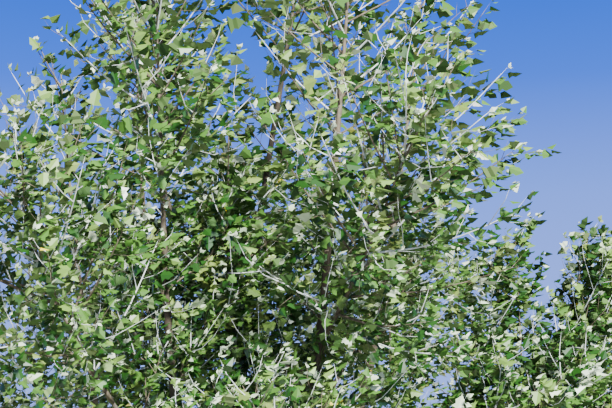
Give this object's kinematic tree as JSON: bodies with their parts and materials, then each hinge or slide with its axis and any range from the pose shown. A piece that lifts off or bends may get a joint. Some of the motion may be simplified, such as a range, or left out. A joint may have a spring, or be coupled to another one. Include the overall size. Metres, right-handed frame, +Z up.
{
  "type": "white poplar",
  "caption": "Young white poplar in summer leaf: short flared trunk, upright leaders forking low, broad full crown of lobed leaves, white-felted beneath.",
  "frame": {"origin": "centre of the flat cut under the trunk, at ground level", "axes": "+Z up the tree, -Y towards the viewer of the picture, +X to the viewer's right"},
  "size_m": [4.946, 4.7173, 6.3585],
  "materials": {
    "bark": "matt pale grey bark",
    "bough": "matt grey-brown young bark",
    "foliage": "leaf green, half matt"
  },
  "bodies": {
    "root": {"trunk": "bark", "bough_back_left": "bough", "bough_back_left_low": "bough", "bough_back_left_mid": "bough", "bough_back_right": "bough", "bough_back_right_low": "bough", "bough_back_right_mid": "bough", "bough_centre": "bough", "bough_centre_back": "bough", "bough_centre_front": "bough", "bough_centre_side": "bough", "bough_front_left": "bough", "bough_front_left_low": "bough", "bough_front_left_mid": "bough", "bough_front_right": "bough", "bough_front_right_low": "bough", "bough_front_right_mid": "bough", "bough_left": "bough", "bough_left_low": "bough", "bough_left_mid": "bough", "bough_right": "bough", "bough_right_low": "bough", "bough_right_mid": "bough", "foliage_back_left": "foliage", "foliage_back_left_low": "foliage", "foliage_back_left_mid": "foliage", "foliage_back_right": "foliage", "foliage_back_right_low": "foliage", "foliage_back_right_mid": "foliage", "foliage_centre": "foliage", "foliage_centre_back": "foliage", "foliage_centre_front": "foliage", "foliage_centre_side": "foliage", "foliage_front_left": "foliage", "foliage_front_left_low": "foliage", "foliage_front_left_mid": "foliage", "foliage_front_right": "foliage", "foliage_front_right_low": "foliage", "foliage_front_right_mid": "foliage", "foliage_left": "foliage", "foliage_left_low": "foliage", "foliage_left_mid": "foliage", "foliage_right": "foliage", "foliage_right_low": "foliage", "foliage_right_mid": "foliage"}
  },
  "joints": []
}
